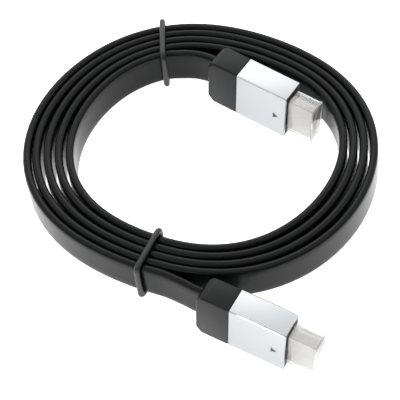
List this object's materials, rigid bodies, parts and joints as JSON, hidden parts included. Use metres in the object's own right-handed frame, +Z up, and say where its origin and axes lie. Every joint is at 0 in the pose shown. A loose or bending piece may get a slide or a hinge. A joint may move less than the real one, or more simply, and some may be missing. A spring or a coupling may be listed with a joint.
{
  "type": "flat audio-video cable with plugs",
  "caption": "Flat digital audio-video cable wound on edge into an oval coil, held by elastic ties, with matching capped plugs at its ends.",
  "frame": {"origin": "middle of the footprint's bounding box, on the floor", "axes": "+Z up from the floor; +X along the coil's width, towards the side where the plugs point; +Y towards the coil's far side, away from the plug outside the coil"},
  "size_m": [0.1214, 0.1384, 0.0235],
  "materials": {
    "cable_jacket": "satin black PVC",
    "elastic_cord": "matt black elastic",
    "boot_plastic": "fine satin charcoal PVC",
    "sleeve_aluminium": "satin anodised",
    "mould_plastic": "matt dark grey",
    "shell_steel": "nickel plated",
    "contact_plastic": "matt black",
    "cap_clear": "clear soft PE"
  },
  "bodies": {
    "root": {"flat_cable": "cable_jacket", "lower_tie": "elastic_cord", "upper_tie": "elastic_cord", "lower_boot": "boot_plastic", "upper_boot": "boot_plastic", "lower_sleeve": "sleeve_aluminium", "upper_sleeve": "sleeve_aluminium", "lower_inner_mould": "mould_plastic", "upper_inner_mould": "mould_plastic", "lower_connector_shell": "shell_steel", "upper_connector_shell": "shell_steel", "lower_contact_block": "contact_plastic", "upper_contact_block": "contact_plastic", "lower_dust_cap": "cap_clear", "upper_dust_cap": "cap_clear"}
  },
  "joints": []
}
